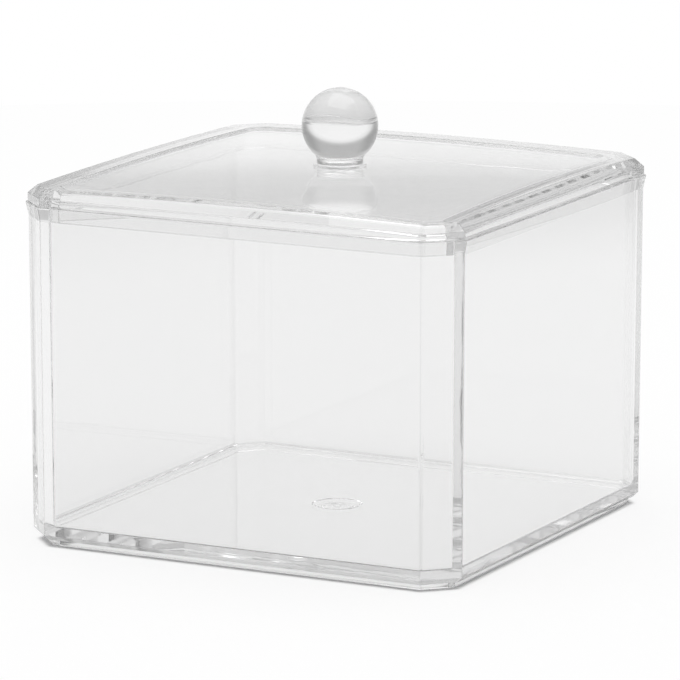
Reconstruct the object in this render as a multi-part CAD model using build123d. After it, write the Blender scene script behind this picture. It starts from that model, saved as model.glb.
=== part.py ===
from build123d import *
import os
from math import sqrt

# Clear moulded storage box with chamfered corners, a lift-off lid and a ball knob.
# Millimetres, +Z up. The origin is the middle of the footprint, on the surface that the box stands on.
# Every outline is a square with its corners cut off, drawn in or out from the foot of the walls.

# Box body
body_half_width = 48.0
body_height = 69.0
corner_leg = 6.1
corner_round = 0.5
inner_corner_round = 0.4
wall_thickness = 3.2
wall_lean = 0.3
floor_thickness = 2.3

# Band round the mouth, which leans out further than the walls
rim_height = 2.8
rim_flare = 0.6

# Foot ring under the floor
foot_height = 1.3
foot_inset = 1.8
foot_width = 2.2
foot_lean = 0.3

# Moulding gate in the middle of the floor: a ring groove above, and a well with its sprue below
gate_groove_radius = 5.1
gate_groove_width = 0.5
gate_groove_depth = 0.25
gate_well_radius = 3.3
gate_well_depth = 0.7
sprue_radius = 0.8
sprue_length = 0.5

# Lid
lid_inset = 0.45
flange_thickness = 1.7
bevel_run = 2.7
bevel_rise = 2.4
crown_radius = 1190.0
ridge_width = 5.0
recess_depth = 0.5
recess_corner_round = 2.0
panel_thickness = 2.4

# Skirt that drops into the mouth
skirt_clearance = 0.4
skirt_thickness = 2.2
skirt_depth = 3.0

# Boss on the lid, with the socket that takes the knob's peg
boss_radius = 5.4
boss_height = 0.5
socket_depth = 1.9

# Ball knob
ball_radius = 7.75
neck_radius = 4.7
neck_height = 1.5
peg_radius = 2.5
peg_length = 1.8
glue_gap = 0.1

# Overrun of a cutter past the face that it cuts
overrun = 1.0

# Widths and heights that follow from the sizes above
floor_top_z = foot_height + floor_thickness
rim_bottom_z = body_height - rim_height
rim_bottom_half = body_half_width + wall_lean
rim_top_half = rim_bottom_half + rim_flare
cavity_floor_half = body_half_width - wall_thickness
mouth_half = rim_bottom_half - wall_thickness
foot_half = body_half_width - foot_inset

flange_half = rim_top_half - lid_inset
flange_top_z = body_height + flange_thickness
ridge_half = flange_half - bevel_run
ridge_z = flange_top_z + bevel_rise
recess_half = ridge_half - ridge_width
skirt_half = mouth_half - skirt_clearance
hollow_half = skirt_half - skirt_thickness
skirt_bottom_z = body_height - skirt_depth
crown_z = ridge_z + crown_radius - sqrt(crown_radius**2 - ridge_half**2)
panel_top_z = crown_z - recess_depth
boss_top_z = panel_top_z + boss_height
ball_centre_z = boss_top_z + neck_height + sqrt(ball_radius**2 - neck_radius**2)


def outline(half, z, rounding):
    """Square of the given half width with cut and rounded corners, parallel to the foot of the walls."""
    leg = corner_leg + (half - body_half_width) * (2 - sqrt(2))
    reach = half - leg
    corners = [
        (half, -reach),
        (half, reach),
        (reach, half),
        (-reach, half),
        (-half, reach),
        (-half, -reach),
        (-reach, -half),
        (reach, -half),
    ]
    plain = Polygon(*corners, align=None)
    return Pos(0, 0, z) * fillet(plain.vertices(), rounding)


def block(low_half, low_z, high_half, high_z, rounding):
    """Solid between two outlines, with straight sides."""
    return loft([outline(low_half, low_z, rounding), outline(high_half, high_z, rounding)], ruled=True)


def disc(radius, low_z, high_z):
    """Upright round bar on the middle axis."""
    return Pos(0, 0, low_z) * Cylinder(radius, high_z - low_z, align=(Align.CENTER, Align.CENTER, Align.MIN))


def crown(top_z):
    """Whole ball whose top is the lid's shallow dome, or one parallel to it, with its poles laid level."""
    radius = crown_radius - (crown_z - top_z)
    return Pos(0, 0, top_z - radius) * Rot(90, 0, 0) * Sphere(radius)


def make_box_body():
    """Walls, floor, flared rim band and foot ring, moulded as one."""
    wall = block(body_half_width, foot_height, rim_bottom_half, rim_bottom_z, corner_round)
    rim = block(rim_bottom_half, rim_bottom_z, rim_top_half, body_height, corner_round)
    cavity_top_half = mouth_half + wall_lean * overrun / body_height
    cavity = block(cavity_floor_half, floor_top_z, cavity_top_half, body_height + overrun, inner_corner_round)
    foot = block(foot_half - foot_lean, 0, foot_half, foot_height, corner_round)
    foot_inner_half = foot_half - foot_width
    foot_recess = block(foot_inner_half, -overrun, foot_inner_half, foot_height, inner_corner_round)
    groove = disc(gate_groove_radius, floor_top_z - gate_groove_depth, floor_top_z + overrun)
    groove -= disc(gate_groove_radius - gate_groove_width, foot_height, floor_top_z + overrun)
    well = disc(gate_well_radius, 0, foot_height + gate_well_depth)
    sprue = disc(sprue_radius, foot_height + gate_well_depth - sprue_length, foot_height + gate_well_depth)
    return wall + rim + (foot - foot_recess) - cavity - groove - well + sprue


def make_lid():
    """Flange, bevel, crowned panel inside a raised ridge, skirt, and the boss that takes the knob."""
    flange = block(flange_half, body_height, flange_half, flange_top_z, corner_round)
    cap_rise = crown_z - flange_top_z + overrun
    cap_half = flange_half - cap_rise * bevel_run / bevel_rise
    cap = block(flange_half, flange_top_z, cap_half, flange_top_z + cap_rise, corner_round) & crown(crown_z)
    recess = block(recess_half, flange_top_z, recess_half, crown_z + overrun, recess_corner_round)
    recess -= crown(panel_top_z)
    skirt = block(skirt_half, skirt_bottom_z, skirt_half, body_height, corner_round)
    hollow = block(hollow_half, skirt_bottom_z - overrun, hollow_half, crown_z, inner_corner_round)
    hollow &= crown(panel_top_z - panel_thickness)
    boss = disc(boss_radius, panel_top_z - panel_thickness / 2, boss_top_z)
    socket = disc(peg_radius + glue_gap, boss_top_z - socket_depth, boss_top_z + overrun)
    return flange + cap + skirt - recess - hollow + boss - socket


def make_ball_knob():
    """Ball on a short round neck, with the peg that is glued into the lid."""
    ball = Pos(0, 0, ball_centre_z) * Sphere(ball_radius)
    neck = disc(neck_radius, boss_top_z, ball_centre_z)
    peg = disc(peg_radius, boss_top_z - peg_length, ball_centre_z)
    return ball + neck + peg


sub_parts = {
    "box_body": make_box_body(),
    "lid": make_lid(),
    "ball_knob": make_ball_knob(),
}

os.makedirs("parts", exist_ok=True)
for name, shape in sub_parts.items():
    export_step(shape, f"parts/{name}.step")
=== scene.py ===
"""Clear acrylic storage box with a lift-off lid and a ball knob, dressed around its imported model."""

from math import cos, pi, radians, sin, sqrt

import bpy
import numpy as np
from bpy.props import FloatProperty, FloatVectorProperty, PointerProperty
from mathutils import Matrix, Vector


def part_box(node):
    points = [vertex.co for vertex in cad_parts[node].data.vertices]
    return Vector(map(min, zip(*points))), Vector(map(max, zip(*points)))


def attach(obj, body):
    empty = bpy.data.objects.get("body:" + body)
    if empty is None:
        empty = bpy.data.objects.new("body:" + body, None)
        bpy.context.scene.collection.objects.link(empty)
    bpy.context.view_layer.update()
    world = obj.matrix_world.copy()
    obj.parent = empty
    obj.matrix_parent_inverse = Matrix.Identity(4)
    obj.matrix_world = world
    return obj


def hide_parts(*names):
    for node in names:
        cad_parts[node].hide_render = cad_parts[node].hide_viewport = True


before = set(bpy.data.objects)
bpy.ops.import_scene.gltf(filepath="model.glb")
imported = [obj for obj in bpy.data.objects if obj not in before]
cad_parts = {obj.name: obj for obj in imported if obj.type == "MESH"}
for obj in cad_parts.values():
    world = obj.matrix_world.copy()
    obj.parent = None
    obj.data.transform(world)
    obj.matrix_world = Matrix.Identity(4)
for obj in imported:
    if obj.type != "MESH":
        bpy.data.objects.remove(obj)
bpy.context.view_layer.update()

bl_info = {
    "name": "Clear storage box",
    "version": (1, 0, 0),
    "blender": (4, 5, 0),
    "location": "View3D > Sidebar > Storage Box",
    "description": "Builds a clear moulded box with a crowned lid and a ball knob, on a white table",
    "category": "Add Mesh",
}

# One millimetre, in metres.
MM = 0.001

# The table lies this far under the foot ring, and its own shade fades to white from this share of its radius.
TABLE_DROP = 0.1 * MM
FADE_SHARE = 0.3

# Distance from the middle of the pool of light, as a share of its size, and how much white is left there.
POOL_SHARES = ((0.0, 1.0), (0.80, 1.0), (1.0, 0.75), (1.18, 0.2), (1.35, 0.0))
POOL_END = 1.5

# The studio's walls go from grey to dark between this share of the pool's half width and all of it.
ASIDE_SHARE = 0.5

# Height of a direction from which the studio overhead is as grey as the walls above the sweep.
GREY_HEIGHT = 0.4

# Light turns this many times inside thick clear edges before it gets out.
LIGHT_BOUNCES = 200

# A look through the foot ring alone crosses fewer faces than this.
FOOT_CROSSINGS = 2.5

# Sample counts of the surfaces, and of the passes that bring the ridge's edge onto both bevel and dome.
ARC_STEPS = 5
FLAT_STEPS = 18
CUT_STEPS = 2
EDGE_STEPS = 5
PANEL_STEPS = 6
RIDGE_PASSES = 6
REVOLVED_STEPS = 128
BALL_STEPS = 56
TABLE_STEPS = 96
SWEEP_STEPS = 12

# A parallel outline further out by one length has a corner cut longer by this share of it.
CUT_SHARE = 2 - sqrt(2)

# Least half width of a parallel outline, as a share of the body's.
LEAST_SHARE = 0.84

# Rings are circles up to this many radii of the gate or the boss, and have cut corners beyond.
CIRCLE_REACH = 2

# Largest share of a straight part of a profile that the round at its end takes up.
ROUND_SHARE = 0.45

# Edges up to this radius show wear and painted shade, and level ones show this share of what upright ones do.
WORN_AND_SHADED_ROUND = 0.4 * MM
LEVEL_EDGE_SHARE = 0.35

# A profile this near to level lies on the crown itself.
LEVEL_SHARE = 0.99

# Where the noise of the handling marks begins to dull the gloss and ends, and a pit's radius in spacings.
MARKS_START, MARKS_END = 0.45, 0.8
PIT_RADIUS = 0.03

# Sockets of a colour mix.
FIRST_COLOUR, SECOND_COLOUR, MIXED_COLOUR = 6, 7, 2


def number(name, description, default, **kind):
    """Property for a number that isn't negative."""
    return FloatProperty(name=name, description=description, default=default, min=0.0, **kind)


def length(name, description, default):
    """Property for a length in metres."""
    return number(name, description, default, unit="LENGTH", precision=5)


def share(name, description, default):
    """Property for a share from 0 to 1."""
    return number(name, description, default, max=1.0, subtype="FACTOR")


def colour(name, description, grey):
    """Property for a linear colour, whose default is a grey."""
    return FloatVectorProperty(name=name, description=description, default=(grey, grey, grey), size=3,
                               subtype="COLOR", min=0.0, max=1.0)


class BodySizes(bpy.types.PropertyGroup):
    """Sizes of the box body, as moulded."""

    half_width: length("Half width", "Half the outer width, at the foot of the wall", 48.0 * MM)
    height: length("Height", "From the table to the top of the rim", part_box("box_body")[1].z)
    corner_leg: length("Corner cut", "How much each corner cut takes off a side", 6.1 * MM)
    corner_round: length("Outer corner round", "Radius of the upright outer edges", 0.5 * MM)
    inner_round: length("Inner corner round", "Radius of the upright inner edges", 0.4 * MM)
    wall: length("Wall", "Thickness of the walls", 3.2 * MM)
    lean: length("Lean", "How far a wall leans out from foot to rim", 0.3 * MM)
    floor_top: length("Floor top", "Height of the floor's upper face", 3.6 * MM)
    rim_height: length("Rim height", "Height of the flared band round the mouth", 2.8 * MM)
    rim_flare: length("Rim flare", "How far the band leans out", 0.6 * MM)
    foot_height: length("Foot height", "Height of the foot ring", 1.3 * MM)
    foot_inset: length("Foot inset", "From the wall's face to the ring's", 1.8 * MM)
    foot_width: length("Foot width", "Width of the ring", 2.2 * MM)
    foot_lean: length("Foot lean", "How far the ring's outer face leans in at the table", 0.3 * MM)
    edge_round: length("Edge round", "Radius of the moulded edges", 0.2 * MM)
    base_cut: length("Base cut", "Flat cut along the edge at the foot of the wall, across and up", 1.0 * MM)
    fine_round: length("Fine round", "Radius of the smallest edges", 0.12 * MM)
    base_round: length("Base round", "Radius of the edges of the base cut", 0.2 * MM)
    floor_round: length("Floor round", "Radius of the hollow between floor and walls", 0.7 * MM)


class GateSizes(bpy.types.PropertyGroup):
    """Sizes of the moulding gate in the middle of the floor."""

    groove_radius: length("Groove radius", "Outer radius of the ring groove on the floor", 5.1 * MM)
    groove_width: length("Groove width", "Width of the ring groove", 0.5 * MM)
    groove_depth: length("Groove depth", "Depth of the ring groove", 0.12 * MM)
    well_radius: length("Well radius", "Radius of the well under the floor", 3.3 * MM)
    well_depth: length("Well depth", "Depth of the well", 0.7 * MM)
    sprue_radius: length("Sprue radius", "Radius of the trimmed sprue", 0.8 * MM)
    sprue_length: length("Sprue length", "Length of the trimmed sprue", 0.5 * MM)


class LidSizes(bpy.types.PropertyGroup):
    """Sizes of the lid."""

    inset: length("Inset", "How far the flange stays inside the rim", 0.45 * MM)
    flange: length("Flange", "Thickness of the flange", 1.7 * MM)
    bevel_run: length("Bevel run", "Width of the bevel in plan", 2.7 * MM)
    bevel_rise: length("Bevel rise", "Height of the bevel at the middle of a side", 2.4 * MM)
    crown_radius: length("Crown radius", "Radius of the lid's shallow dome", 1190.0 * MM)
    ridge: length("Ridge", "Width of the raised ridge", 5.0 * MM)
    recess: length("Recess", "Depth of the panel inside the ridge", 0.5 * MM)
    recess_round: length("Recess round", "Radius of the recess's corners", 2.0 * MM)
    panel: length("Panel", "Thickness of the panel", 2.4 * MM)
    skirt_clearance: length("Skirt clearance", "Gap between skirt and mouth", 0.4 * MM)
    skirt: length("Skirt", "Thickness of the skirt", 2.2 * MM)
    skirt_depth: length("Skirt depth", "How far the skirt drops into the mouth", 3.0 * MM)
    boss_radius: length("Boss radius", "Radius of the boss under the knob", 5.4 * MM)
    boss_height: length("Boss height", "Height of the boss above the panel", 0.5 * MM)
    socket_radius: length("Socket radius", "Radius of the socket for the peg", 2.6 * MM)
    socket_depth: length("Socket depth", "Depth of the socket", 1.9 * MM)
    air: length("Air gap", "Hair of air that two dry faces keep between them", 0.05 * MM)


class KnobSizes(bpy.types.PropertyGroup):
    """Sizes of the ball knob."""

    ball_radius: length("Ball radius", "Radius of the ball", 7.75 * MM)
    neck_radius: length("Neck radius", "Radius of the neck", 4.7 * MM)
    neck_height: length("Neck height", "From the boss to where the ball begins", 1.5 * MM)
    neck_round: length("Neck round", "Radius of the hollow between ball and neck", 1.5 * MM)
    peg_radius: length("Peg radius", "Radius of the glued peg", 2.5 * MM)
    peg_length: length("Peg length", "Length of the glued peg", 1.8 * MM)


class AcrylicFinish(bpy.types.PropertyGroup):
    """Finish of the clear acrylic."""

    tint: colour("Tint", "Colour that each face lets through", 0.95)
    depth_tint: colour("Depth tint", "Colour that long paths take on", 0.50)
    depth_density: number("Depth density", "Absorption per metre", 4.0)
    ior: number("Index", "Index of refraction of acrylic", 1.49)
    smooth: share("Polish", "Roughness where the mould was polished", 0.0)
    ball_dull: share("Ball polish", "Roughness of the tumbled ball", 0.04)
    dull: share("Handling", "Roughness where the box was handled", 0.03)
    edge_dull: share("Edge wear", "Roughness along the rounded edges", 0.12)
    # Painted shade: the edge tint darkens the rounded edges, standing in for the dark lines that light draws
    # along them.
    edge_painted_shade: colour("Edge tint", "Colour that the rounded edges let through", 0.86)
    foot_dull: share("Foot wear", "Roughness of the scuffed foot of the wall", 0.08)
    # Painted shade: the foot tint darkens the flat cut at the foot of the wall, standing in for the shade
    # under the wall.
    foot_painted_shade: colour("Foot tint", "Colour that the scuffed foot of the wall lets through", 0.74)
    scuff_and_shade_fade: length("Scuff fade", "How far the scuffs take to fade out", 0.3 * MM)
    wave: length("Wave", "Height of the slow waves of the moulded faces", 0.02 * MM)
    wave_size: length("Wave size", "Breadth of a wave", 16.0 * MM)
    ripple: length("Ripple", "Height of the finer ripples", 0.002 * MM)
    ripple_size: length("Ripple size", "Breadth of a ripple", 4.0 * MM)
    seed_size: length("Seed spacing", "Spacing of the tiny seeds and dust pits", 9.0 * MM)
    seed_depth: length("Seed depth", "Depth of a pit", 0.02 * MM)


class StageLook(bpy.types.PropertyGroup):
    """White table, studio walls, lamp and camera. Gloss and clear pieces see more of them than the camera."""

    table_colour: colour("Table", "Colour of the table", 0.92)
    table_radius: length("Table radius", "Radius of the round table", 0.55)
    table_white: share("Table white", "How much white hides its own shading from the camera", 0.85)
    table_seen_white: share("White in gloss", "How much white hides its own shading in gloss", 0.75)
    table_under_white: share("White under the box", "The same, under the box", 0.86)
    table_seen_shade: share("Shade in gloss", "Brightness of that white in gloss", 0.97)
    table_under_shade: share("Shade under the box", "The same, under the box", 0.945)
    side_near: length("Side", "How far to the side the table begins to darken in gloss", 0.26)
    contact_near: length("Contact", "From the foot ring's middle to where its shadow fades", 1.1 * MM)
    contact_far: length("Contact end", "From the foot ring's middle to where its shadow ends", 2.8 * MM)
    under_near: length("Under", "Where the shadow fades in gloss and clear pieces", 2.5 * MM)
    under_far: length("Under end", "Where the shadow ends in gloss and clear pieces", 5.0 * MM)
    sweep_height: length("Sweep height", "Height of the sweep round the table", 0.4)
    room_dark: share("Room dark", "Brightness of the studio's walls at the sides", 0.34)
    room_grey: share("Room grey", "Brightness of the studio's walls above the sweep", 0.50)
    box_low: share("Soft box edge", "Height of a direction at which the overhead soft box begins", 0.62)
    box_high: share("Soft box middle", "Height of a direction at which it is full", 0.85)
    box_bright: share("Soft box", "Brightness of the overhead soft box", 0.95)
    sky_light: share("Sky light", "Brightness of the studio on dull surfaces", 0.75)
    lamp_width: length("Lamp width", "Width of the overhead soft box", 1.2)
    lamp_height: length("Lamp height", "Height of the overhead soft box", 1.3)
    lamp_power: number("Lamp power", "Power in watts", 7.0)
    deep_grey: share("Deep grey", "Brightness of the studio in light that turned often in the plastic", 0.85)
    deep_start: number("Deep start", "Turns at which it begins to lighten", 3.0)
    deep_end: number("Deep end", "Turns at which it is that light", 7.0)
    pool_width: length("Pool width", "Half the width of the pool of light behind the box", 0.37)
    pool_height: length("Pool height", "Height of the pool of light on the sweep", 0.155)
    camera_turn: number("Turn", "Camera's turn round the box", radians(27.087), subtype="ANGLE")
    camera_rise: number("Rise", "Camera's rise above the table", radians(11.319), subtype="ANGLE")
    camera_reach: length("Reach", "From the camera to the middle of the box", 1.129)
    camera_target: length("Target", "Height of that middle", 40.0 * MM)
    camera_aim: length("Aim", "Height of the point that the camera looks at", 37.5 * MM)
    camera_lens: number("Lens", "Focal length in millimetres", 294.3)
    camera_sensor: number("Sensor", "Width of the sensor in millimetres", 36.0)
    camera_clip: FloatVectorProperty(name="Clip", description="Nearest and furthest place in view",
                                     default=(0.05, 50.0), size=2, unit="LENGTH")


def outline_parts():
    """Parts of a square outline with cut and rounded corners: point = fixed + half * out + radius * tuck.

    Corner k of the octagon stands at half and reach, where reach = half - leg, and leg grows by CUT_SHARE
    with the half width. A corner's arc is the circle tangent to both its sides, and a side's points lie
    evenly between two arcs. The fourth row of results holds the unit normal of each point in plan, and the
    last one is 1 on the arcs.
    """
    sizes = bpy.context.scene.box_body_sizes
    held = sizes.half_width * CUT_SHARE - sizes.corner_leg
    half_part = np.array([[1, 0], [1, 0], [0, 1], [0, 1], [-1, 0], [-1, 0], [0, -1], [0, -1]], float)
    reach_part = np.array([[0, -1], [0, 1], [1, 0], [-1, 0], [0, 1], [0, -1], [-1, 0], [1, 0]], float)
    corner_fixed = held * reach_part
    corner_out = half_part + (1 - CUT_SHARE) * reach_part
    turns = np.arange(8) * pi / 4
    side_normal = np.stack([np.cos(turns), np.sin(turns)], 1)
    rows = []
    for k in range(8):
        before, after, follow = side_normal[k - 1], side_normal[k], (k + 1) % 8
        sweep = np.linspace(turns[k] - pi / 4, turns[k], ARC_STEPS + 1)
        normal = np.stack([np.cos(sweep), np.sin(sweep)], 1)
        ones = np.ones((len(sweep), 1))
        inward = (before + after) / (1 + before @ after)
        bend = ones[:, 0].copy()
        bend[[0, -1]] = 0
        rows.append([ones * corner_fixed[k], ones * corner_out[k], normal - inward, normal, bend])
        steps = FLAT_STEPS if k % 2 == 0 else CUT_STEPS
        along = np.linspace(0, 1, steps + 2)[1:-1, None]
        next_inward = (after + side_normal[follow]) / (1 + after @ side_normal[follow])
        fixed = corner_fixed[k] * (1 - along) + corner_fixed[follow] * along
        out = corner_out[k] * (1 - along) + corner_out[follow] * along
        tuck = (after - inward) * (1 - along) + (after - next_inward) * along
        rows.append([fixed, out, tuck, np.ones_like(along) * after, 0 * along[:, 0]])
    return [np.concatenate([row[part] for row in rows]) for part in range(5)]


def place_rings(parts, half, corner, circle):
    """Points in plan, their normals, and how far each moves out for each step of half width.

    The outline of a ring is fixed + half * out + corner * tuck, and blends by circle into a circle of radius
    half. Inside a width of LEAST_SHARE the corner cuts would shrink to nothing, so there the outline of that
    width is scaled.
    """
    fixed, out, tuck, normal = parts[:4]
    body = bpy.context.scene.box_body_sizes
    spoke = fixed + out * body.half_width + tuck * body.corner_leg
    spoke = spoke / np.linalg.norm(spoke, axis=-1, keepdims=True)
    held = np.maximum(half, LEAST_SHARE * body.half_width)
    square = fixed + held[..., None] * out + corner[..., None] * tuck
    square = square * (half / held)[..., None]
    points = square * (1 - circle[..., None]) + half[..., None] * spoke * circle[..., None]
    facing = normal * (1 - circle[..., None]) + spoke * circle[..., None]
    facing = facing / np.linalg.norm(facing, axis=-1, keepdims=True)
    step = (out * facing).sum(-1) * (1 - circle) + (spoke * facing).sum(-1) * circle
    return points, facing, step


def dome(plan, top, radius):
    """Height of a ball's cap above each point in plan: top - radius + sqrt(radius^2 - distance^2)."""
    return top - radius + np.sqrt(radius**2 - (plan**2).sum(-1))


def round_profile(knots, count):
    """Rings of a profile with rounded corners, for each of count places round the outline.

    A knot is (half, height, round, corner, circle, crown before, crown after). Its corner becomes an arc of
    radius round, tangent to the profile before and after it: the arc's ends lie round * tan(turn / 2) from
    the knot, and its points turn evenly from one direction to the other. A knot without a round stays one
    point.
    """
    ones = np.ones(count)
    place = np.stack([np.stack([ones * half, ones * height]) for half, height, *_ in knots])
    leg = place[1:] - place[:-1]
    reach = np.linalg.norm(leg, axis=1)
    way = leg / reach[:, None]
    rings = []
    for i, (_, _, rounding, corner, circle, crown_in, crown_out) in enumerate(knots[1:-1], 1):
        before, after = way[i - 1], way[i]
        turn = np.arctan2(before[0] * after[1] - before[1] * after[0], (before * after).sum(0))
        if rounding == 0:
            mid = before + after
            rings.append([place[i], mid / np.linalg.norm(mid, axis=0), corner, circle, crown_in, 0.0])
            continue
        pull = np.abs(np.tan(turn / 2))
        cut = np.minimum(rounding * pull, ROUND_SHARE * np.minimum(reach[i - 1], reach[i]))
        radius = cut / pull
        start = place[i] - before * cut
        side = np.sign(turn) * np.stack([-before[1], before[0]])
        for step in np.linspace(0, 1, EDGE_STEPS + 1):
            angle = turn * step
            way_here = np.stack([before[0] * np.cos(angle) - before[1] * np.sin(angle),
                                 before[0] * np.sin(angle) + before[1] * np.cos(angle)])
            side_here = np.sign(turn) * np.stack([-way_here[1], way_here[0]])
            point = start + radius * side - radius * side_here
            edge = 1.0 if 0 < step < 1 and rounding <= WORN_AND_SHADED_ROUND else 0.0
            rings.append([point, way_here, corner, circle, crown_in + (crown_out - crown_in) * step, edge])
    half, height = np.stack([ring[0] for ring in rings], 1)
    way_out, way_up = np.stack([ring[1] for ring in rings], 1)
    corner, circle, crown, edge = (np.stack([ring[part] * ones for ring in rings]) for part in (2, 3, 4, 5))
    return half, height, way_out, way_up, corner, circle, crown, edge


def closed_mesh(name, rings, normals, first, last, edge):
    """Closed surface through rings of points, with one more in the middle at each end, and its own normals.

    The attribute "edge" says how worn a place is and how far painted shade darkens it: 1 on the upright
    outer edges, and 0 on the faces between.
    """
    count, around = rings.shape[:2]
    points = np.concatenate([rings.reshape(-1, 3), [first, last]])
    facing = np.concatenate([normals.reshape(-1, 3), [[0, 0, 1], [0, 0, -1]]])
    row, place = np.meshgrid(np.arange(count - 1), np.arange(around), indexing="ij")
    follow = (place + 1) % around
    quads = np.stack([row * around + place, (row + 1) * around + place,
                      (row + 1) * around + follow, row * around + follow], -1).reshape(-1, 4)
    spot = np.arange(around)
    beside = (spot + 1) % around
    top = np.stack([np.full(around, count * around), spot, beside], 1)
    under = (count - 1) * around
    bottom = np.stack([np.full(around, count * around + 1), under + beside, under + spot], 1)
    mesh = bpy.data.meshes.new(name)
    mesh.from_pydata(points.tolist(), [], quads.tolist() + top.tolist() + bottom.tolist())
    mesh.shade_smooth()
    mesh.normals_split_custom_set_from_vertices(facing.tolist())
    worn = mesh.attributes.new("edge", "FLOAT", "POINT")
    worn.data.foreach_set("value", np.concatenate([edge.ravel(), [0, 0]]))
    mesh.update()
    piece = bpy.data.objects.new(name, mesh)
    bpy.context.scene.collection.objects.link(piece)
    return piece


def moulded(name, knots, parts, crown_radius):
    """Closed moulding whose profile is carried round the outline.

    Each point's normal is square to the profile's direction and to the outline. Beside the crown it also
    tilts along the outline by the point's distance from the middle of its side, over the crown's radius,
    and on the crown it is the direction from the middle of the crown's ball. Upright edges wear where hands
    reach them, outside, and the same mark darkens them with painted shade.
    """
    half, height, way_out, way_up, corner, circle, crown, edge = round_profile(knots, len(parts[0]))
    plan, facing, step = place_rings(parts, half, corner, circle)
    lift = step * way_out
    normal = np.concatenate([-facing * way_up[..., None], lift[..., None]], -1)
    normal /= np.linalg.norm(normal, axis=-1, keepdims=True)
    along = np.stack([-facing[..., 1], facing[..., 0]], -1)
    tilt = crown * normal[..., 2] * (plan * along).sum(-1) / crown_radius
    normal[..., :2] += along * tilt[..., None]
    normal /= np.linalg.norm(normal, axis=-1, keepdims=True)
    cap = np.concatenate([plan, np.full_like(height, crown_radius)[..., None]], -1)
    cap *= np.sign(way_out)[..., None] / np.linalg.norm(cap, axis=-1, keepdims=True)
    on_cap = (crown == 1) & (np.abs(way_out) > LEVEL_SHARE)
    normal = np.where(on_cap[..., None], cap, normal)
    rings = np.concatenate([plan, height[..., None]], -1)
    first = [0, 0, float(np.mean(knots[0][1]))]
    last = [0, 0, float(np.mean(knots[-1][1]))]
    # The edge mark sets both the wear roughness of these edges and their painted shade.
    handled = corner >= bpy.context.scene.box_body_sizes.corner_round
    edge = np.maximum(edge * LEVEL_EDGE_SHARE, parts[4] * np.abs(way_up) * handled) * (1 - circle)
    return closed_mesh(name, rings, normal, first, last, edge)


def math_node(tree, operation, first, second=None):
    """Output of a sum, product or the like of one or two outputs or numbers."""
    node = tree.nodes.new("ShaderNodeMath")
    node.operation = operation
    for slot, value in enumerate((first, second)):
        if isinstance(value, bpy.types.NodeSocket):
            tree.links.new(value, node.inputs[slot])
        elif value is not None:
            node.inputs[slot].default_value = value
    return node.outputs["Value"]


def soft_step(tree, value, start, end):
    """Output that rises smoothly from 0 to 1 while a value goes from start to end."""
    node = tree.nodes.new("ShaderNodeMapRange")
    node.interpolation_type = "SMOOTHSTEP"
    node.inputs["From Min"].default_value = start
    node.inputs["From Max"].default_value = end
    tree.links.new(value, node.inputs["Value"])
    return node.outputs["Result"]


def mixed(tree, amount, first, second):
    """Output that goes from one colour to another. Each is an output, a grey or three numbers."""
    node = tree.nodes.new("ShaderNodeMix")
    node.data_type = "RGBA"
    tree.links.new(amount, node.inputs["Factor"])
    for slot, value in (FIRST_COLOUR, first), (SECOND_COLOUR, second):
        if isinstance(value, bpy.types.NodeSocket):
            tree.links.new(value, node.inputs[slot])
        else:
            node.inputs[slot].default_value = (*np.broadcast_to(value, 3), 1)
    return node.outputs[MIXED_COLOUR]


def link(tree, source, output, target, socket):
    """Joins one node's output to another's input."""
    tree.links.new(source.outputs[output], target.inputs[socket])


def add_node(tree, kind, **values):
    """New node with the given input values, by socket name."""
    node = tree.nodes.new(kind)
    for socket, value in values.items():
        node.inputs[socket.replace("_", " ")].default_value = value
    return node


def bare_material(name):
    """New material with nothing but its output."""
    material = bpy.data.materials.new(name)
    material.use_nodes = True
    material.node_tree.nodes.clear()
    return material, material.node_tree, material.node_tree.nodes.new("ShaderNodeOutputMaterial")


def split_place(tree, place):
    """Outputs for the three coordinates of a place."""
    split = tree.nodes.new("ShaderNodeSeparateXYZ")
    tree.links.new(place, split.inputs["Vector"])
    return split.outputs


def bumped(tree, height, distance, normal=None):
    """Normal of a surface that a pattern raises by up to a distance."""
    bump = add_node(tree, "ShaderNodeBump", Distance=distance)
    tree.links.new(height, bump.inputs["Height"])
    if normal is not None:
        tree.links.new(normal, bump.inputs["Normal"])
    return bump.outputs["Normal"]


def foot_scuff_and_shade(tree, place, look):
    """Mask of scuffed roughness and painted shade: 1 on the flat cut at the foot of the wall, 0 round it."""
    body = bpy.context.scene.box_body_sizes
    top = body.foot_height + body.base_cut
    low = soft_step(tree, split_place(tree, place)["Z"], top + look.scuff_and_shade_fade, top)
    inner = body.half_width - body.base_cut
    out = soft_step(tree, outline_distance(tree, place), inner - look.scuff_and_shade_fade, inner)
    return math_node(tree, "MULTIPLY", low, out)


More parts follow.
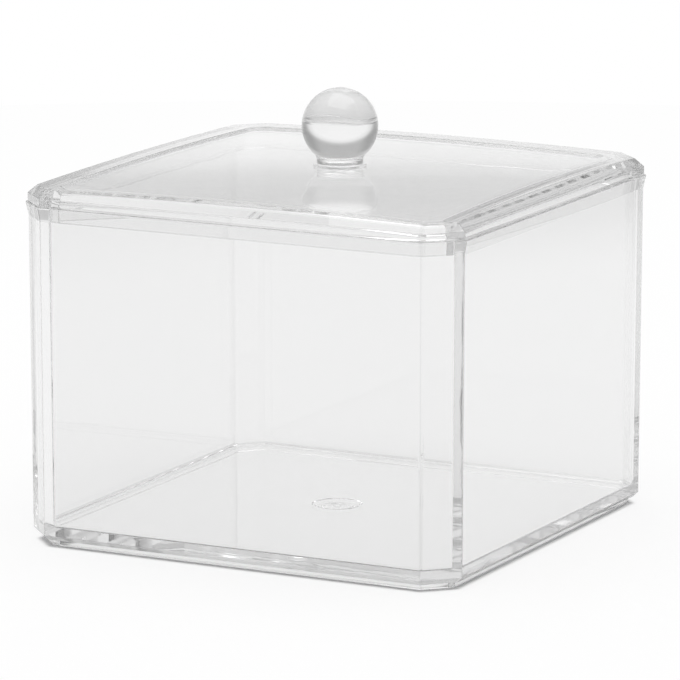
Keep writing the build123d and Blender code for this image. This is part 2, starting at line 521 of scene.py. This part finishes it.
def clear_acrylic(name, offset, polished=0.0):
    """Clear moulded acrylic: polished faces with slow mould waves, faint handling marks, seeds and pits."""
    look = bpy.context.scene.acrylic_finish
    material, tree, out = bare_material(name)
    shader = add_node(tree, "ShaderNodeBsdfPrincipled", Transmission_Weight=1.0, IOR=look.ior)
    link(tree, shader, "BSDF", out, "Surface")
    depth = add_node(tree, "ShaderNodeVolumeAbsorption", Density=look.depth_density)
    depth.inputs["Color"].default_value = (*look.depth_tint, 1)
    link(tree, depth, "Volume", out, "Volume")

    place = tree.nodes.new("ShaderNodeTexCoord")
    shift = add_node(tree, "ShaderNodeMapping", Location=offset)
    link(tree, place, "Object", shift, "Vector")

    def pattern(kind, output, size, **values):
        texture = add_node(tree, kind, Scale=1 / size, **values)
        link(tree, shift, "Vector", texture, "Vector")
        return texture.outputs[output]

    marks = pattern("ShaderNodeTexNoise", "Fac", look.wave_size, Detail=6.0, Roughness=0.7)
    polish = add_node(tree, "ShaderNodeMapRange", From_Min=MARKS_START, From_Max=MARKS_END,
                      To_Min=max(look.smooth, polished), To_Max=max(look.dull, polished))
    tree.links.new(marks, polish.inputs["Value"])
    edge = tree.nodes.new("ShaderNodeAttribute")
    edge.attribute_name = "edge"
    scuff_and_shade = foot_scuff_and_shade(tree, place.outputs["Object"], look)
    worn = math_node(tree, "MULTIPLY", edge.outputs["Fac"], look.edge_dull)
    worn = math_node(tree, "MAXIMUM", worn, math_node(tree, "MULTIPLY", scuff_and_shade, look.foot_dull))
    rough = math_node(tree, "MAXIMUM", worn, polish.outputs["Result"])
    tree.links.new(rough, shader.inputs["Roughness"])
    # Painted shade: the base colour is darker on the rounded edges.
    tint_with_painted_shade = mixed(tree, edge.outputs["Fac"], look.tint, look.edge_painted_shade)
    # Painted shade: the base colour is darker still on the flat cut at the foot of the wall.
    tree.links.new(mixed(tree, scuff_and_shade, tint_with_painted_shade, look.foot_painted_shade), shader.inputs["Base Color"])

    waves = pattern("ShaderNodeTexNoise", "Fac", look.wave_size, Detail=1.0, Roughness=0.4)
    ripples = pattern("ShaderNodeTexNoise", "Fac", look.ripple_size, Detail=1.0, Roughness=0.4)
    seeds = pattern("ShaderNodeTexVoronoi", "Distance", look.seed_size)
    pits = add_node(tree, "ShaderNodeMapRange", From_Max=PIT_RADIUS)
    tree.links.new(seeds, pits.inputs["Value"])
    normal = bumped(tree, waves, look.wave)
    normal = bumped(tree, ripples, look.ripple, normal)
    normal = bumped(tree, pits.outputs["Result"], look.seed_depth, normal)
    tree.links.new(normal, shader.inputs["Normal"])
    return material


def finish_piece(piece, body, node, slot, offset, polished=0.0):
    """Gives a piece its acrylic, named by slot, hangs it on its body and hides the node it stands for."""
    piece.data.materials.append(clear_acrylic(slot, offset, polished))
    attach(piece, body)
    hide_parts(node)


def knot(half, height, rounding=0.0, corner=0.0, circle=0.0, crown=0.0, crown_after=None):
    """One corner of a profile, as round_profile reads it."""
    return half, height, rounding, corner, circle, crown, crown if crown_after is None else crown_after


class MakeBoxBody(bpy.types.Operator):
    """Moulds the walls, floor, rim and foot ring."""

    bl_idname = "storage_box.make_body"
    bl_label = "Box body"

    def execute(self, context):
        s, g = context.scene.box_body_sizes, context.scene.box_gate_sizes
        outer, inner, edge, fine = s.corner_round, s.inner_round, s.edge_round, s.fine_round
        rim_half = s.half_width + s.lean
        floor_half = s.half_width - s.wall
        mouth_half = rim_half - s.wall
        foot_half = s.half_width - s.foot_inset
        groove_low = s.floor_top - g.groove_depth
        groove_in = g.groove_radius - g.groove_width
        well_top = s.foot_height + g.well_depth
        sprue_end = well_top - g.sprue_length
        wide = CIRCLE_REACH * g.groove_radius
        knots = [
            knot(0.0, s.floor_top),
            knot(groove_in - fine, s.floor_top, fine, circle=1.0),
            knot(groove_in + fine, groove_low, fine, circle=1.0),
            knot(g.groove_radius - fine, groove_low, fine, circle=1.0),
            knot(g.groove_radius + fine, s.floor_top, fine, circle=1.0),
            knot(wide, s.floor_top, circle=1.0),
            knot(CIRCLE_REACH * wide, s.floor_top, corner=inner),
            knot(floor_half, s.floor_top, s.floor_round, inner),
            knot(mouth_half, s.height, edge, inner),
            knot(rim_half + s.rim_flare, s.height, edge, outer),
            knot(rim_half, s.height - s.rim_height, edge, outer),
            knot(s.half_width, s.foot_height + s.base_cut, s.base_round, outer),
            knot(s.half_width - s.base_cut, s.foot_height, s.base_round, outer),
            knot(foot_half, s.foot_height, fine, outer),
            knot(foot_half - s.foot_lean, 0.0, edge, outer),
            knot(foot_half - s.foot_width, 0.0, edge, inner),
            knot(foot_half - s.foot_width, s.foot_height, fine, inner),
            knot(CIRCLE_REACH * wide, s.foot_height, corner=inner),
            knot(wide, s.foot_height, circle=1.0),
            knot(g.well_radius, s.foot_height, fine, circle=1.0),
            knot(g.well_radius - fine, well_top, fine, circle=1.0),
            knot(g.sprue_radius, well_top, fine, circle=1.0),
            knot(g.sprue_radius - fine, sprue_end, fine, circle=1.0),
            knot(0.0, sprue_end),
        ]
        piece = moulded("box_body_clear", knots, outline_parts(), context.scene.box_lid_sizes.crown_radius)
        finish_piece(piece, "box", "box_body", "clear_acrylic_body", (0, 0, 0))
        return {"FINISHED"}


def lid_heights(scene):
    """Heights that follow from the sizes of the body and the lid."""
    body, lid = scene.box_body_sizes, scene.box_lid_sizes
    flange_half = body.half_width + body.lean + body.rim_flare - lid.inset
    flange_top = body.height + lid.flange
    ridge_half = flange_half - lid.bevel_run
    ridge_top = flange_top + lid.bevel_rise
    crown_top = ridge_top + lid.crown_radius - sqrt(lid.crown_radius**2 - ridge_half**2)
    panel_top = crown_top - lid.recess
    return flange_half, flange_top, ridge_half, crown_top, panel_top, panel_top + lid.boss_height


class MakeLid(bpy.types.Operator):
    """Moulds the flange, bevel, ridge, crowned panel, skirt and boss."""

    bl_idname = "storage_box.make_lid"
    bl_label = "Lid"

    def execute(self, context):
        body, lid = context.scene.box_body_sizes, context.scene.box_lid_sizes
        outer, inner, edge, fine = body.corner_round, body.inner_round, body.edge_round, body.fine_round
        parts = outline_parts()
        count = len(parts[0])
        flange_half, flange_top, ridge_half, crown_top, panel_top, boss_top = lid_heights(context.scene)
        skirt_half = body.half_width + body.lean - body.wall - lid.skirt_clearance
        hollow_half = skirt_half - lid.skirt
        skirt_end = body.height - lid.skirt_depth
        recess_half = ridge_half - lid.ridge
        under_top = panel_top - lid.panel
        socket_end = boss_top - lid.socket_depth

        def on_dome(half, corner, circle, top):
            ones = np.ones(count)
            plan = place_rings(parts, half * ones, corner * ones, circle * ones)[0]
            return dome(plan, top, lid.crown_radius - (crown_top - top))

        ridge = ridge_half * np.ones(count)
        for _ in range(RIDGE_PASSES):
            ridge_z = on_dome(ridge, outer, 0.0, crown_top)
            ridge = flange_half - (ridge_z - flange_top) * lid.bevel_run / lid.bevel_rise

        def panel_knots(halves, top, corner):
            return [knot(half, on_dome(half, corner, 0.0, top), 0.0, corner, crown=1.0) for half in halves]

        near, recess_round = CIRCLE_REACH * lid.boss_radius, lid.recess_round
        spread = list(np.linspace(near, recess_half, PANEL_STEPS)[1:-1])
        recess_low = on_dome(recess_half, recess_round, 0.0, panel_top)
        recess_high = on_dome(recess_half, recess_round, 0.0, crown_top)
        hollow_top = on_dome(hollow_half, inner, 0.0, under_top)
        knots = [
            knot(0.0, socket_end),
            knot(lid.socket_radius, socket_end, fine, circle=1.0),
            knot(lid.socket_radius, boss_top, fine, circle=1.0),
            knot(lid.boss_radius, boss_top, fine, circle=1.0),
            knot(lid.boss_radius, on_dome(lid.boss_radius, 0.0, 1.0, panel_top), fine, circle=1.0, crown=1.0),
            knot(near, on_dome(near, 0.0, 1.0, panel_top), circle=1.0, crown=1.0),
            *panel_knots(spread, panel_top, recess_round),
            knot(recess_half, recess_low, lid.recess, recess_round, crown=1.0),
            knot(recess_half, recess_high, lid.recess, recess_round, crown=1.0),
            knot(ridge, ridge_z, edge, outer, crown=1.0, crown_after=0.0),
            knot(flange_half, flange_top, edge, outer),
            knot(flange_half, body.height + lid.air, fine, outer),
            knot(skirt_half, body.height + lid.air, fine, outer),
            knot(skirt_half, skirt_end, edge, outer),
            knot(hollow_half, skirt_end, edge, inner),
            knot(hollow_half, hollow_top, body.floor_round, inner, crown=1.0),
            *panel_knots(spread[::-1], under_top, inner),
            knot(near, on_dome(near, 0.0, 1.0, under_top), circle=1.0, crown=1.0),
            knot(0.0, under_top),
        ]
        piece = moulded("lid_clear", knots, parts, lid.crown_radius)
        finish_piece(piece, "lid_unit", "lid", "clear_acrylic_lid", (0.3, 0.1, 0))
        return {"FINISHED"}


class MakeKnob(bpy.types.Operator):
    """Turns the ball, its neck and its glued peg."""

    bl_idname = "storage_box.make_knob"
    bl_label = "Ball knob"

    def execute(self, context):
        s, lid = context.scene.box_knob_sizes, context.scene.box_lid_sizes
        fine = context.scene.box_body_sizes.fine_round
        base = lid_heights(context.scene)[5]
        centre = base + s.neck_height + sqrt(s.ball_radius**2 - s.neck_radius**2)
        # The hollow is a circle that touches both, so its middle lies both radii away from the ball's.
        away = s.neck_radius + s.neck_round
        hollow_z = centre - sqrt((s.ball_radius + s.neck_round) ** 2 - away**2)
        meet = pi - np.arctan2(away, centre - hollow_z)
        sweep = np.linspace(0, meet, BALL_STEPS)[1:]
        back = np.linspace(meet - pi, pi / 2 - pi, EDGE_STEPS + 2)[1:]
        ball, hollow = s.ball_radius, s.neck_round
        half = np.concatenate([ball * np.sin(sweep), away + hollow * np.sin(back)])
        height = np.concatenate([centre + ball * np.cos(sweep), hollow_z + hollow * np.cos(back)])
        way_out = np.concatenate([np.cos(sweep), -np.cos(back)])
        way_up = np.concatenate([-np.sin(sweep), np.sin(back)])
        foot = base + lid.air
        peg_end = base - s.peg_length
        tail = round_profile(
            [
                knot(s.neck_radius, hollow_z),
                knot(s.neck_radius, foot, fine),
                knot(s.peg_radius, foot, fine),
                knot(s.peg_radius, peg_end, fine),
                knot(0.0, peg_end),
            ],
            1,
        )
        half, height, way_out, way_up = (
            np.concatenate([head, end[:, 0]]) for head, end in zip((half, height, way_out, way_up), tail)
        )
        turn = np.arange(REVOLVED_STEPS) * 2 * pi / REVOLVED_STEPS
        spoke = np.stack([np.cos(turn), np.sin(turn)], 1)
        plan = half[:, None, None] * spoke
        upright = np.broadcast_to(height[:, None, None], (*plan.shape[:2], 1))
        normal = np.concatenate([-way_up[:, None, None] * spoke,
                                 np.broadcast_to(way_out[:, None, None], upright.shape)], -1)
        rings = np.concatenate([plan, upright], -1)
        glued = ((half <= s.peg_radius) & (height < foot)).astype(float)
        edge = glued[:, None] * np.ones(REVOLVED_STEPS)
        ends = [0, 0, centre + s.ball_radius], [0, 0, peg_end]
        piece = closed_mesh("ball_knob_clear", rings, normal, *ends, edge)
        polished = context.scene.acrylic_finish.ball_dull
        finish_piece(piece, "lid_unit", "ball_knob", "clear_acrylic_knob", (0, 0.2, 0.1), polished)
        return {"FINISHED"}


def stage_piece(name, points, faces, material):
    """New piece of the stage, from its points, faces and material."""
    mesh = bpy.data.meshes.new(name)
    mesh.from_pydata(points.tolist(), [], faces)
    mesh.materials.append(material)
    piece = bpy.data.objects.new(name, mesh)
    bpy.context.scene.collection.objects.link(piece)
    return piece


def make_table(look):
    """White round table: one face with its points at radius * (cos turn, sin turn), under the foot ring."""
    turn = np.arange(TABLE_STEPS) * 2 * pi / TABLE_STEPS
    radius = look.table_radius
    rim = np.stack([radius * np.cos(turn), radius * np.sin(turn), np.full(TABLE_STEPS, -TABLE_DROP)], 1)
    material, tree, out = bare_material("white_table")
    dull = add_node(tree, "ShaderNodeBsdfDiffuse", Color=(*look.table_colour, 1))
    white = tree.nodes.new("ShaderNodeEmission")
    blend = tree.nodes.new("ShaderNodeMixShader")

    place = tree.nodes.new("ShaderNodeTexCoord")
    away = tree.nodes.new("ShaderNodeVectorMath")
    away.operation = "LENGTH"
    link(tree, place, "Object", away, 0)
    path = tree.nodes.new("ShaderNodeLightPath")
    ring = math_node(tree, "SUBTRACT", outline_distance(tree, place.outputs["Object"]), foot_middle())
    near = math_node(tree, "ABSOLUTE", ring)
    direct = math_node(tree, "MULTIPLY", path.outputs["Is Camera Ray"], look.table_white)
    direct = math_node(tree, "MULTIPLY", direct, soft_step(tree, near, look.contact_near, look.contact_far))

    indirect = math_node(tree, "SUBTRACT", shown_rays(tree), path.outputs["Is Camera Ray"])
    outside = soft_step(tree, ring, 0.0, look.under_far)
    seen = mixed(tree, outside, look.table_under_white, look.table_seen_white)
    fade = soft_step(tree, away.outputs["Value"], radius * FADE_SHARE, radius)
    seen = math_node(tree, "MAXIMUM", seen, fade)
    deep = math_node(tree, "GREATER_THAN", path.outputs["Transmission Depth"], FOOT_CROSSINGS)
    clear = math_node(tree, "MAXIMUM", soft_step(tree, near, look.under_near, look.under_far), deep)
    indirect = math_node(tree, "MULTIPLY", indirect, math_node(tree, "MULTIPLY", seen, clear))
    tree.links.new(math_node(tree, "MAXIMUM", direct, indirect), blend.inputs["Fac"])

    sideways = math_node(tree, "ABSOLUTE", camera_axes(tree, place, look)[0])
    aside = soft_step(tree, sideways, look.side_near, look.pool_width)
    shade = mixed(tree, outside, look.table_under_shade, look.table_seen_shade)
    shade = mixed(tree, aside, shade, look.room_dark)
    tree.links.new(mixed(tree, path.outputs["Is Camera Ray"], shade, 1.0), white.inputs["Color"])
    link(tree, dull, "BSDF", blend, 1)
    link(tree, white, "Emission", blend, 2)
    link(tree, blend, "Shader", out, "Surface")
    table = stage_piece("white_table", rim, [list(range(TABLE_STEPS))], material)


def foot_middle():
    """Half width of the middle of the foot ring."""
    body = bpy.context.scene.box_body_sizes
    return body.half_width - body.foot_inset - body.foot_width / 2


def outline_distance(tree, place):
    """Half width of the outline through a place: the largest of |x|, |y| and (|x| + |y|) / sqrt(2) - cut.

    The cut is how much further out a corner's flat face would lie than a side's, without its own cut.
    """
    body = bpy.context.scene.box_body_sizes
    split = split_place(tree, place)
    across = math_node(tree, "ABSOLUTE", split["X"])
    along = math_node(tree, "ABSOLUTE", split["Y"])
    slant = math_node(tree, "MULTIPLY", math_node(tree, "ADD", across, along), sqrt(0.5))
    cut = (2 * body.half_width - body.corner_leg) * sqrt(0.5) - body.half_width
    square = math_node(tree, "MAXIMUM", across, along)
    return math_node(tree, "MAXIMUM", square, math_node(tree, "SUBTRACT", slant, cut))


def shown_rays(tree):
    """Output that is 1 on camera, glossy and transmission rays, and 0 on the rays that only carry light."""
    path = tree.nodes.new("ShaderNodeLightPath").outputs
    first = math_node(tree, "MAXIMUM", path["Is Camera Ray"], path["Is Glossy Ray"])
    return math_node(tree, "MAXIMUM", first, path["Is Transmission Ray"])


def camera_axes(tree, place, look):
    """How far a place lies to the camera's right and away from it, in metres from the middle."""
    turn_cos, turn_sin = cos(look.camera_turn), sin(look.camera_turn)
    values = []
    for way in (turn_cos, turn_sin, 0), (-turn_sin, turn_cos, 0):
        node = tree.nodes.new("ShaderNodeVectorMath")
        node.operation = "DOT_PRODUCT"
        node.inputs[1].default_value = way
        link(tree, place, "Object", node, 0)
        values.append(node.outputs["Value"])
    return values


def soften_deep(tree, grey, look):
    """A grey, or a lighter one for light that has turned often inside the plastic and mixed on its way."""
    path = tree.nodes.new("ShaderNodeLightPath")
    turns = soft_step(tree, path.outputs["Ray Depth"], look.deep_start, look.deep_end)
    return mixed(tree, turns, grey, look.deep_grey)


def grey_ramp(tree, value, stops):
    """Grey that changes with a value, by the given pairs of value and brightness."""
    ramp = tree.nodes.new("ShaderNodeValToRGB")
    tree.links.new(value, ramp.inputs["Fac"])
    elements = ramp.color_ramp.elements
    elements[0].position, elements[1].position = stops[0][0], stops[-1][0]
    for position, _ in stops[1:-1]:
        elements.new(position)
    for element, (_, grey) in zip(elements, stops):
        element.color = (grey, grey, grey, 1)
    return ramp.outputs["Color"]


def make_sweep(look):
    """Sweep and walls of the studio, standing round the table: a pool of light behind the box, and greys.

    Points at radius * (cos turn, sin turn) and height, on a grid of turns and heights. The pool is half an
    ellipse on the sweep. Only gloss and clear pieces see the studio, and the camera looks through it.
    """
    turn = np.arange(TABLE_STEPS) * 2 * pi / TABLE_STEPS
    around, up = np.meshgrid(turn, np.linspace(-TABLE_DROP, look.sweep_height, SWEEP_STEPS))
    radius = look.table_radius
    points = np.stack([radius * np.cos(around), radius * np.sin(around), up], -1).reshape(-1, 3)
    row, spot = np.meshgrid(np.arange(SWEEP_STEPS - 1) * TABLE_STEPS, np.arange(TABLE_STEPS), indexing="ij")
    follow = (spot + 1) % TABLE_STEPS
    above = row + TABLE_STEPS
    quads = np.stack([row + follow, row + spot, above + spot, above + follow], -1).reshape(-1, 4)
    material, tree, out = bare_material("studio_sweep")
    place = tree.nodes.new("ShaderNodeTexCoord")
    sideways, backwards = camera_axes(tree, place, look)
    rise = math_node(tree, "DIVIDE", split_place(tree, place.outputs["Object"])["Z"], look.pool_height)
    spread = math_node(tree, "DIVIDE", sideways, look.pool_width)
    squares = [math_node(tree, "MULTIPLY", value, value) for value in (rise, spread)]
    far = math_node(tree, "SQRT", math_node(tree, "ADD", *squares))
    far = math_node(tree, "DIVIDE", far, POOL_END)
    pool = grey_ramp(tree, far, [(at / POOL_END, left) for at, left in POOL_SHARES])
    lit = math_node(tree, "MULTIPLY", pool, soft_step(tree, backwards, 0.0, look.pool_height))
    width = look.pool_width
    aside = soft_step(tree, math_node(tree, "ABSOLUTE", sideways), ASIDE_SHARE * width, width)
    wall = mixed(tree, aside, look.room_grey, look.room_dark)
    glow = tree.nodes.new("ShaderNodeEmission")
    tree.links.new(mixed(tree, lit, soften_deep(tree, wall, look), 1.0), glow.inputs["Color"])
    through = tree.nodes.new("ShaderNodeBsdfTransparent")
    path = tree.nodes.new("ShaderNodeLightPath").outputs
    show = tree.nodes.new("ShaderNodeMixShader")
    seen = math_node(tree, "MAXIMUM", path["Is Glossy Ray"], path["Is Transmission Ray"])
    tree.links.new(seen, show.inputs["Fac"])
    link(tree, through, "BSDF", show, 1)
    link(tree, glow, "Emission", show, 2)
    link(tree, show, "Shader", out, "Surface")
    sweep = stage_piece("studio_sweep", points, quads.tolist(), material)


def make_sky(scene, look):
    """Studio above: white to the camera, and grey walls under a soft box to gloss and clear pieces."""
    world = bpy.data.worlds.new("studio")
    scene.world = world
    world.use_nodes = True
    tree = world.node_tree
    tree.nodes.clear()
    out = tree.nodes.new("ShaderNodeOutputWorld")
    place = tree.nodes.new("ShaderNodeTexCoord")
    room = grey_ramp(tree, split_place(tree, place.outputs["Generated"])["Z"],
                     [(0.0, look.room_dark), (GREY_HEIGHT, look.room_grey), (look.box_low, look.room_grey),
                      (look.box_high, look.box_bright), (1.0, look.box_bright)])
    seen = tree.nodes.new("ShaderNodeBackground")
    tree.links.new(soften_deep(tree, room, look), seen.inputs["Color"])
    past = add_node(tree, "ShaderNodeBackground", Color=(1, 1, 1, 1))
    lit = add_node(tree, "ShaderNodeBackground", Color=(1, 1, 1, 1), Strength=look.sky_light)
    show, first = tree.nodes.new("ShaderNodeMixShader"), tree.nodes.new("ShaderNodeMixShader")
    path = tree.nodes.new("ShaderNodeLightPath")
    tree.links.new(shown_rays(tree), show.inputs["Fac"])
    link(tree, lit, "Background", show, 1)
    link(tree, seen, "Background", show, 2)
    link(tree, path, "Is Camera Ray", first, "Fac")
    link(tree, show, "Shader", first, 1)
    link(tree, past, "Background", first, 2)
    link(tree, first, "Shader", out, "Surface")


def add_soft_box(look):
    """Square soft box over the table, which shines straight down."""
    data = bpy.data.lights.new("top_soft_box", "AREA")
    data.shape = "SQUARE"
    data.size = look.lamp_width
    data.energy = look.lamp_power
    lamp = bpy.data.objects.new("top_soft_box", data)
    lamp.location = 0, 0, look.lamp_height
    bpy.context.scene.collection.objects.link(lamp)


class MakeStage(bpy.types.Operator):
    """Sets up the white table, the studio round it, the soft lamp and the camera."""

    bl_idname = "storage_box.make_stage"
    bl_label = "Stage"

    def execute(self, context):
        scene, look = context.scene, context.scene.box_stage_look
        make_table(look)
        make_sweep(look)
        make_sky(scene, look)
        add_soft_box(look)
        turn, rise = look.camera_turn, look.camera_rise
        back = Vector((sin(turn) * cos(rise), -cos(turn) * cos(rise), sin(rise)))
        data = bpy.data.cameras.new("camera")
        data.lens = look.camera_lens
        data.sensor_width = look.camera_sensor
        data.clip_start, data.clip_end = look.camera_clip
        camera = bpy.data.objects.new("camera", data)
        camera.location = Vector((0, 0, look.camera_target)) + back * look.camera_reach
        sight = Vector((0, 0, look.camera_aim)) - camera.location
        camera.rotation_mode = "QUATERNION"
        camera.rotation_quaternion = sight.to_track_quat("-Z", "Y")
        scene.collection.objects.link(camera)
        scene.camera = camera
        scene.view_settings.view_transform = "Standard"
        scene.cycles.max_bounces = LIGHT_BOUNCES
        scene.cycles.glossy_bounces = LIGHT_BOUNCES
        scene.cycles.transmission_bounces = LIGHT_BOUNCES
        return {"FINISHED"}


class StorageBoxPanel(bpy.types.Panel):
    """Lists the pieces of the storage box."""

    bl_idname = "VIEW3D_PT_storage_box"
    bl_label = "Storage Box"
    bl_space_type = "VIEW_3D"
    bl_region_type = "UI"
    bl_category = "Storage Box"

    def draw(self, context):
        for operator in OPERATORS:
            self.layout.operator(operator.bl_idname)


GROUPS = {
    "box_body_sizes": BodySizes,
    "box_gate_sizes": GateSizes,
    "box_lid_sizes": LidSizes,
    "box_knob_sizes": KnobSizes,
    "acrylic_finish": AcrylicFinish,
    "box_stage_look": StageLook,
}
OPERATORS = (MakeBoxBody, MakeLid, MakeKnob, MakeStage)


def register():
    """Registers the groups, the operators and the panel."""
    for name, group in GROUPS.items():
        bpy.utils.register_class(group)
        setattr(bpy.types.Scene, name, PointerProperty(type=group))
    for operator in OPERATORS:
        bpy.utils.register_class(operator)
    bpy.utils.register_class(StorageBoxPanel)


def unregister():
    """Takes away what register added."""
    bpy.utils.unregister_class(StorageBoxPanel)
    for operator in reversed(OPERATORS):
        bpy.utils.unregister_class(operator)
    for name, group in reversed(GROUPS.items()):
        delattr(bpy.types.Scene, name)
        bpy.utils.unregister_class(group)


def main():
    """Builds everything in order."""
    register()
    bpy.ops.storage_box.make_body()
    bpy.ops.storage_box.make_lid()
    bpy.ops.storage_box.make_knob()
    bpy.ops.storage_box.make_stage()


if __name__ == "__main__":
    main()
